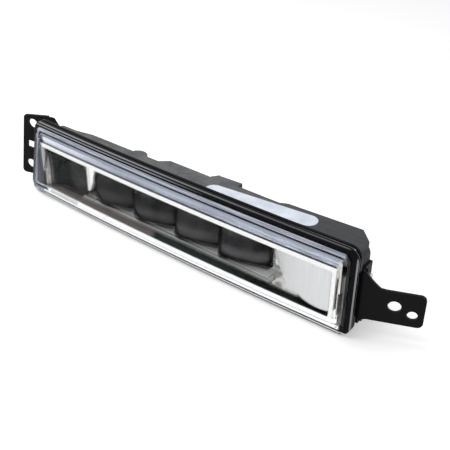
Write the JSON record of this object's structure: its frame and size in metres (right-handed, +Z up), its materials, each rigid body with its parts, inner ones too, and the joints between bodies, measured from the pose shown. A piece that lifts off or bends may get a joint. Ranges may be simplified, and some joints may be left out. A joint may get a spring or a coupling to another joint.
{
  "type": "auxiliary driving light",
  "caption": "Slim car driving light with a stepped clear lens, a row of smoked projector modules, a double-lipped housing and two bent steel brackets.",
  "frame": {"origin": "middle of the large hole in the right bracket's tab, halfway through the plate", "axes": "+Z up, +X along the lamp towards the tab, +Y backwards away from the lens"},
  "size_m": [0.3668, 0.0455, 0.0686],
  "materials": {
    "clear_plastic": "clear polished",
    "smoked_plastic": "smoky polished",
    "black_plastic": "black, lip glossy, body fine grain",
    "chromed_plastic": "vacuum chromed plastic",
    "satin_chrome": "satin metallised plastic",
    "soft_seal": "soft",
    "light_seal": "soft, light grey",
    "board": "solder resist",
    "emitter": "phosphor",
    "bare_aluminium": "die cast",
    "screw_steel": "zinc plated",
    "part_plastic": "moulded",
    "pin_brass": "plated",
    "bracket_steel": "black, satin"
  },
  "bodies": {
    "root": {"bezel": "chromed_plastic", "bezel_screws": "screw_steel", "board_screws": "screw_steel", "bracket_screws": "screw_steel", "connector_pins": "pin_brass", "connector_socket": "black_plastic", "driver_board": "board", "driver_parts": "part_plastic", "driver_screws": "screw_steel", "end_reflector": "satin_chrome", "heat_sink": "bare_aluminium", "heat_sink_screws": "screw_steel", "heat_sink_seal": "soft_seal", "housing": "black_plastic", "led_board": "board", "led_chips": "emitter", "left_bracket": "bracket_steel", "lens_holder_1": "black_plastic", "lens_holder_2": "black_plastic", "lens_holder_3": "black_plastic", "lens_holder_4": "black_plastic", "lens_holder_5": "black_plastic", "lens_seal": "light_seal", "outer_lens": "clear_plastic", "projector_lens_1": "smoked_plastic", "projector_lens_2": "smoked_plastic", "projector_lens_3": "smoked_plastic", "projector_lens_4": "smoked_plastic", "projector_lens_5": "smoked_plastic", "right_bracket": "bracket_steel", "thermal_pad": "soft_seal", "vent_cap": "black_plastic"}
  },
  "joints": []
}
